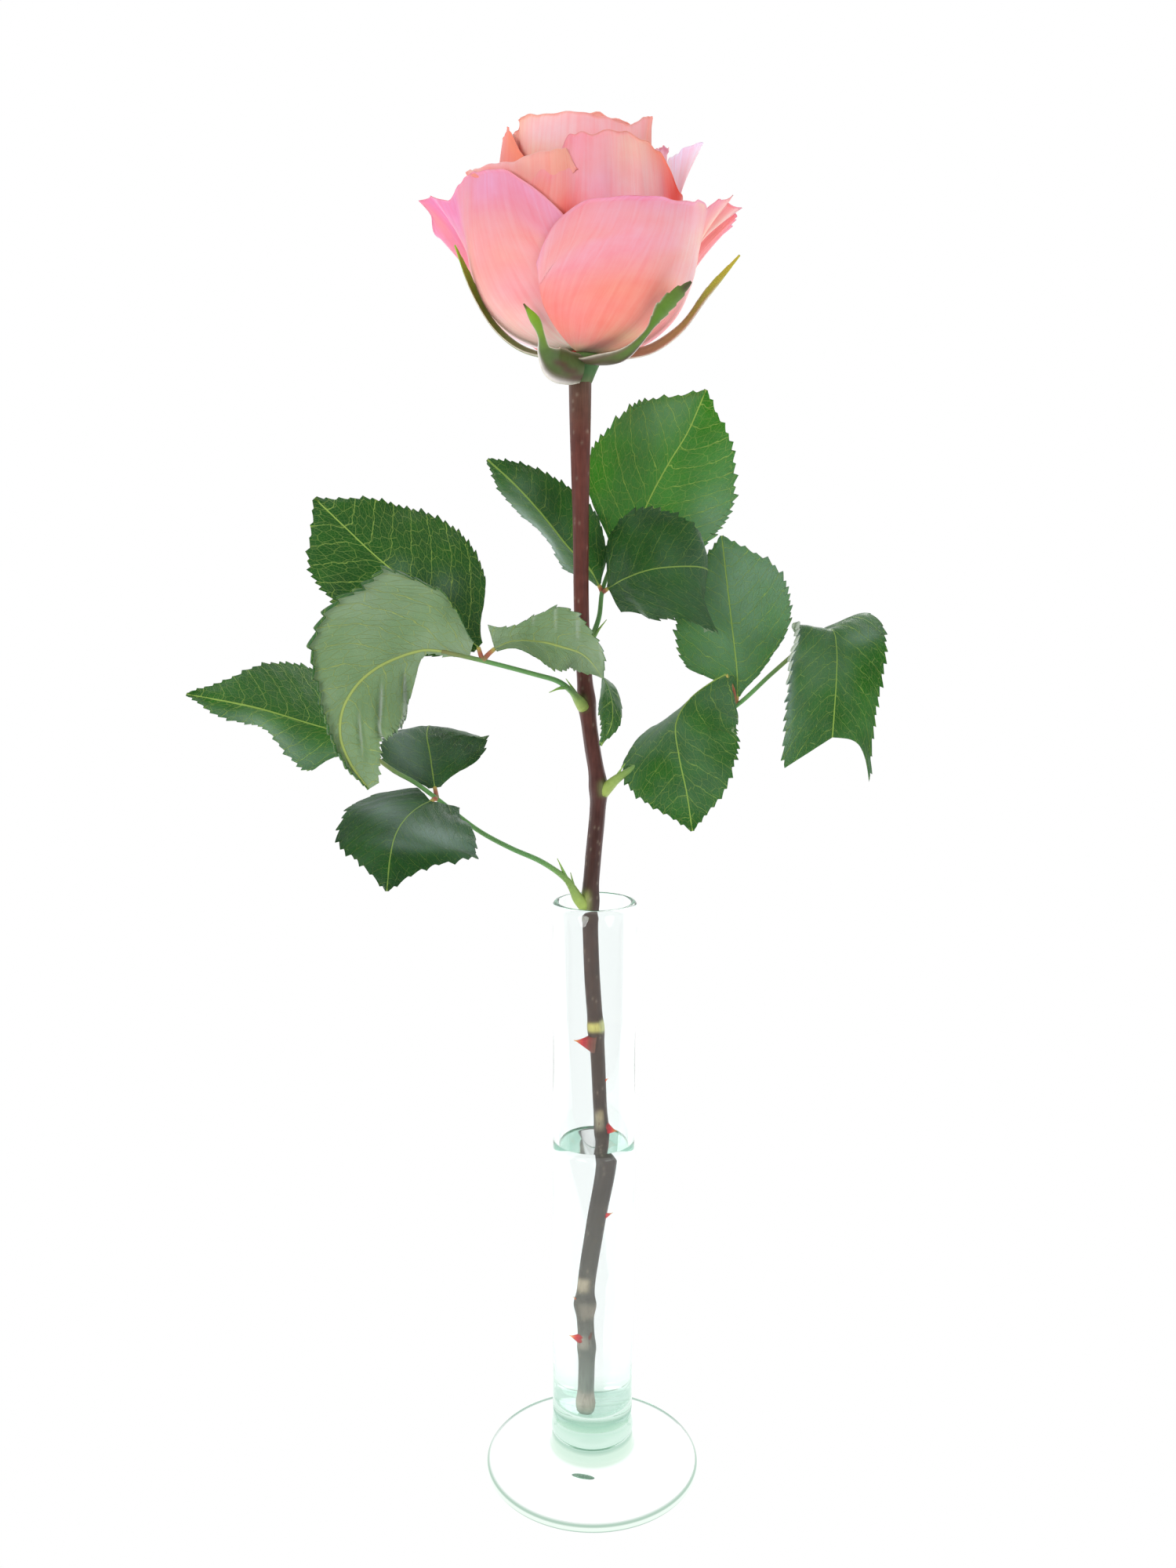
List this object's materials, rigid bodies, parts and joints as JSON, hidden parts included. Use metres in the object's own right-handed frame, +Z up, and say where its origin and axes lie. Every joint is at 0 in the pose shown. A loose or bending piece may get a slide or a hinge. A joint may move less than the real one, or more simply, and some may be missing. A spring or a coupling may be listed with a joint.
{
  "type": "rose in a bud vase",
  "caption": "Long-stemmed pink rose with serrated compound leaves, standing in water in a clear glass tube vase on a flat round foot.",
  "frame": {"origin": "middle of the vase foot's flat underside, on the vase's axis", "axes": "+Z up along the vase's axis, -Y the front from which the bloom's two overlapping outer petals are seen, +X to the right as seen from the front"},
  "size_m": [0.2243, 0.0867, 0.4355],
  "materials": {
    "glass": "clear, faintly green, polished",
    "water": "clear still water",
    "bark": "smooth young bark, brown-purple, satin",
    "leaf": "satin green blade with paler net veins, grey-green underside",
    "sepal": "matt green with purple-brown edges",
    "petal": "velvety, coral pink"
  },
  "bodies": {
    "root": {"vase": "glass", "water": "water", "stem": "bark", "leaf_upper": "leaf", "leaf_left": "leaf", "leaf_right": "leaf", "leaf_lower": "leaf", "calyx": "sepal", "bloom": "petal"}
  },
  "joints": []
}
